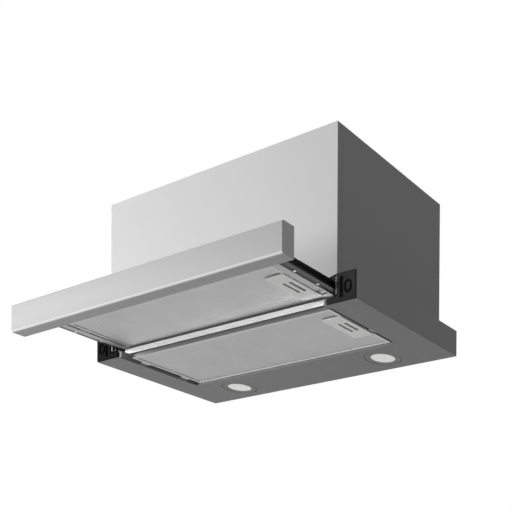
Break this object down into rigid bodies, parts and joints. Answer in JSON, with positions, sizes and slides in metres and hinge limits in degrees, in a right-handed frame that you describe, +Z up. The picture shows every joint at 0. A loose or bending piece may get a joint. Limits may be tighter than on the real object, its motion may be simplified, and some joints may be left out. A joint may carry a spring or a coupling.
{
  "type": "pull out range hood",
  "caption": "Slim built-in range hood with a pull-out drawer, a grease filter in the drawer and one in the frame, round lamps, blower and round duct outlet.",
  "frame": {"origin": "middle of the rear face, level with the lower frame's underside", "axes": "+Z up, the front panel faces -Y, +X to the right as seen from the front"},
  "size_m": [0.598, 0.411, 0.305],
  "materials": {
    "painted_sheet": "satin",
    "steel_panel": "brushed",
    "zinc_sheet": "satin",
    "rail_steel": "satin",
    "slide_steel": "satin",
    "bright_steel": "polished",
    "black_plastic": "matte",
    "grey_plastic": "matte",
    "white_plastic": "satin",
    "filter_aluminium": "satin",
    "lamp_diffuser": "satin",
    "aluminium_cast": "cast",
    "motor_paint": "satin",
    "brass_cage": "satin",
    "bush_rubber": "matte",
    "board": "matte"
  },
  "bodies": {
    "housing": {"lower_frame": "painted_sheet", "body_shell": "painted_sheet", "front_cover": "painted_sheet", "top_plate": "painted_sheet", "front_rail": "rail_steel", "end_cap_left": "black_plastic", "end_cap_right": "black_plastic", "slide_outer_left": "slide_steel", "slide_outer_right": "slide_steel", "duct_collar": "black_plastic", "flap_pin": "bright_steel", "volute_left": "grey_plastic", "volute_right": "grey_plastic", "motor_housing": "motor_paint", "motor_bearings": "bright_steel", "motor_bracket": "zinc_sheet", "motor_bushes": "bush_rubber", "capacitor": "grey_plastic", "control_box": "grey_plastic", "control_lid": "grey_plastic", "control_board": "board", "cable_gland": "black_plastic", "lamp_bezels": "painted_sheet", "lamp_lenses": "lamp_diffuser", "led_modules": "aluminium_cast", "door_switch": "black_plastic", "duct_screws": "bright_steel", "top_screws": "bright_steel", "rear_rivets": "bright_steel", "fixed_filter_frame": "filter_aluminium", "fixed_filter_mesh": "filter_aluminium", "fixed_latch": "white_plastic"},
    "drawer": {"drawer_panel": "steel_panel", "panel_liner": "zinc_sheet", "drawer_side_left": "zinc_sheet", "drawer_side_right": "zinc_sheet", "drawer_front_bar": "zinc_sheet", "drawer_rear_bar": "zinc_sheet", "drawer_cover": "zinc_sheet", "slide_inner_left": "slide_steel", "slide_inner_right": "slide_steel", "slide_rivets": "bright_steel", "slide_brackets": "black_plastic", "drawer_filter_frame": "filter_aluminium", "drawer_filter_mesh": "filter_aluminium", "drawer_latch": "white_plastic", "control_bezel": "black_plastic", "panel_screws": "bright_steel"},
    "cage_left": {"ball_cage_left": "brass_cage"},
    "cage_right": {"ball_cage_right": "brass_cage"},
    "fixed_bolt": {"fixed_latch_bolt": "white_plastic"},
    "drawer_bolt": {"drawer_latch_bolt": "white_plastic"},
    "plunger": {"switch_plunger": "white_plastic"},
    "wheel": {"impeller": "grey_plastic", "motor_shaft": "bright_steel"},
    "rear_flap": {"flap_rear": "grey_plastic"},
    "front_flap": {"flap_front": "grey_plastic"},
    "speed_knob": {"speed_slider": "white_plastic"},
    "lamp_knob": {"lamp_slider": "white_plastic"}
  },
  "joints": [
    {"name": "drawer_slide", "type": "slide", "parent": "housing", "child": "drawer", "axis": [0, -1, 0], "range_m": [-0.1265, 0]},
    {"name": "cage_left_roll", "type": "slide", "parent": "housing", "child": "cage_left", "axis": [0, -1, 0], "range_m": [-0.06325, 0]},
    {"name": "cage_right_roll", "type": "slide", "parent": "housing", "child": "cage_right", "axis": [0, -1, 0], "range_m": [-0.06325, 0]},
    {"name": "fixed_latch_slide", "type": "slide", "parent": "housing", "child": "fixed_bolt", "axis": [-1, 0, 0], "range_m": [0, 0.0035], "stiffness_N_per_m": 400, "springref_m": -0.002},
    {"name": "drawer_latch_slide", "type": "slide", "parent": "drawer", "child": "drawer_bolt", "axis": [-1, 0, 0], "range_m": [0, 0.0035], "stiffness_N_per_m": 400, "springref_m": -0.002},
    {"name": "switch_press", "type": "slide", "parent": "housing", "child": "plunger", "axis": [0, 1, 0], "range_m": [0, 0.0015], "stiffness_N_per_m": 250, "springref_m": -0.001},
    {"name": "wheel_spin", "type": "hinge", "parent": "housing", "child": "wheel", "pos_m": [0, -0.155, 0.146], "axis": [1, 0, 0], "continuous": true},
    {"name": "rear_flap_swing", "type": "hinge", "parent": "housing", "child": "rear_flap", "pos_m": [0, -0.08865, 0.289], "axis": [1, 0, 0], "range_deg": [0, 75]},
    {"name": "front_flap_swing", "type": "hinge", "parent": "housing", "child": "front_flap", "pos_m": [0, -0.08865, 0.289], "axis": [-1, 0, 0], "range_deg": [0, 75]},
    {"name": "speed_slide", "type": "slide", "parent": "drawer", "child": "speed_knob", "axis": [1, 0, 0], "range_m": [0, 0.024]},
    {"name": "lamp_slide", "type": "slide", "parent": "drawer", "child": "lamp_knob", "axis": [1, 0, 0], "range_m": [0, 0.008]}
  ],
  "couplings": [
    {"joint": "cage_left_roll", "follows": "drawer_slide", "ratio": 0.5},
    {"joint": "cage_right_roll", "follows": "drawer_slide", "ratio": 0.5}
  ]
}
